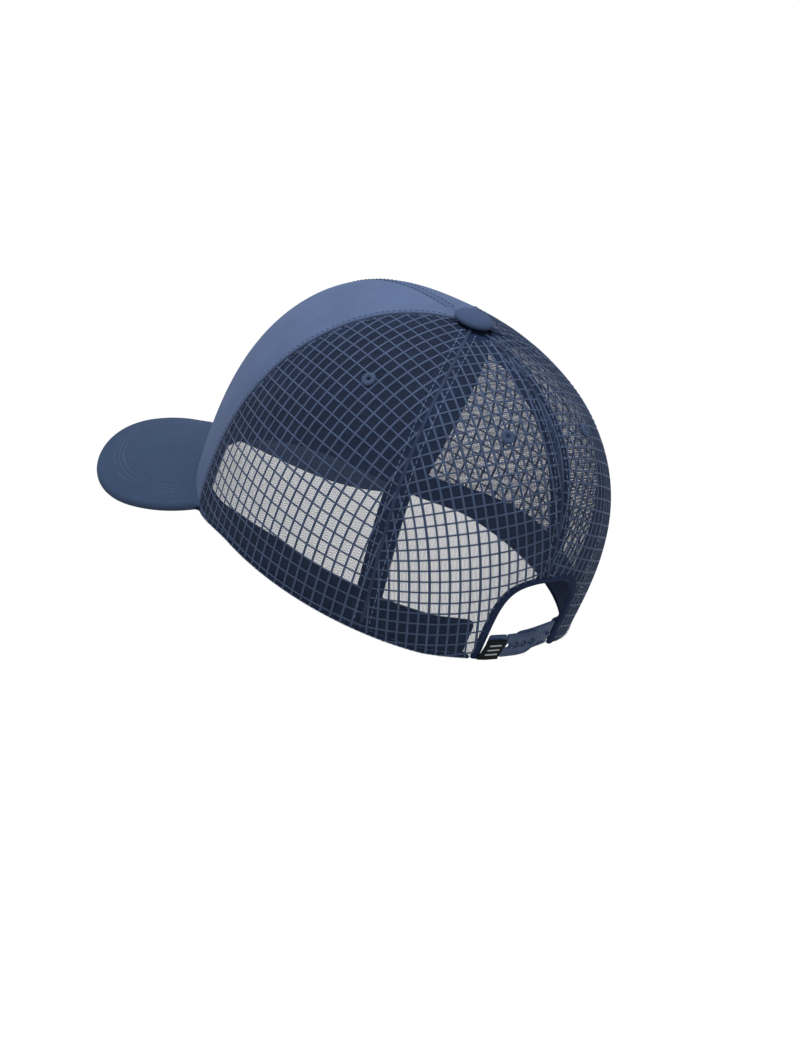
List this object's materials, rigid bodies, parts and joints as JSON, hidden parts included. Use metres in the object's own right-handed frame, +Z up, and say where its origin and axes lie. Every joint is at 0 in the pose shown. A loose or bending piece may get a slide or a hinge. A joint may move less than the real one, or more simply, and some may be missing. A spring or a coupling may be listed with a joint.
{
  "type": "trucker cap",
  "caption": "Trucker cap with solid front panels, see-through mesh sides and back, a curved visor and a snap strap that adjusts the head opening.",
  "frame": {"origin": "on the surface the cap rests on, under the middle of its box", "axes": "+Z up, the visor points towards -Y, the wearer's left side is +X"},
  "size_m": [0.1742, 0.2801, 0.1453],
  "materials": {
    "front_fabric": "matt brushed twill, light slate blue",
    "visor_fabric": "matt twill, slate blue",
    "mesh": "open warp-knitted net with a square grid of thicker yarns",
    "navy_fabric": "matt navy tape and sweatband cloth",
    "thread": "satin stitched thread",
    "strap": "semi-matt moulded plastic, slate blue",
    "label": "matt black woven tab",
    "board": "unseen stiff board",
    "rivet": "unseen pressed metal"
  },
  "bodies": {
    "crown": {"front_panel_left": "front_fabric", "front_panel_right": "front_fabric", "front_backing_left": "navy_fabric", "front_backing_right": "navy_fabric", "side_mesh_left": "mesh", "side_mesh_right": "mesh", "back_mesh_left": "mesh", "back_mesh_right": "mesh", "tape_centre_front": "navy_fabric", "tape_front_left": "navy_fabric", "tape_front_right": "navy_fabric", "tape_side_left": "navy_fabric", "tape_side_right": "navy_fabric", "tape_centre_back": "navy_fabric", "sweatband": "navy_fabric", "hem_band": "navy_fabric", "arch_binding": "navy_fabric", "visor_board": "board", "visor_top_cover": "visor_fabric", "visor_under_cover": "visor_fabric", "top_button": "visor_fabric", "button_rivet": "rivet", "eyelet_side_left": "thread", "eyelet_side_right": "thread", "eyelet_back_left": "thread", "eyelet_back_right": "thread", "strap_anchor_left": "strap", "strap_anchor_right": "strap", "label_tab": "label"},
    "outer_strap": {"strap_left": "strap"},
    "inner_strap": {"strap_right": "strap"}
  },
  "joints": [
    {"name": "outer_strap_flex", "type": "hinge", "parent": "crown", "child": "outer_strap", "pos_m": [0.0112, 0.1329, 0.0072], "axis": [0, -0.2326, -0.9726], "range_deg": [0, 80], "stiffness_Nm_per_rad": 0.002},
    {"name": "inner_strap_flex", "type": "hinge", "parent": "crown", "child": "inner_strap", "pos_m": [-0.0203, 0.1294, 0.0079], "axis": [0, -0.2326, -0.9726], "range_deg": [0, 55], "stiffness_Nm_per_rad": 0.002}
  ]
}
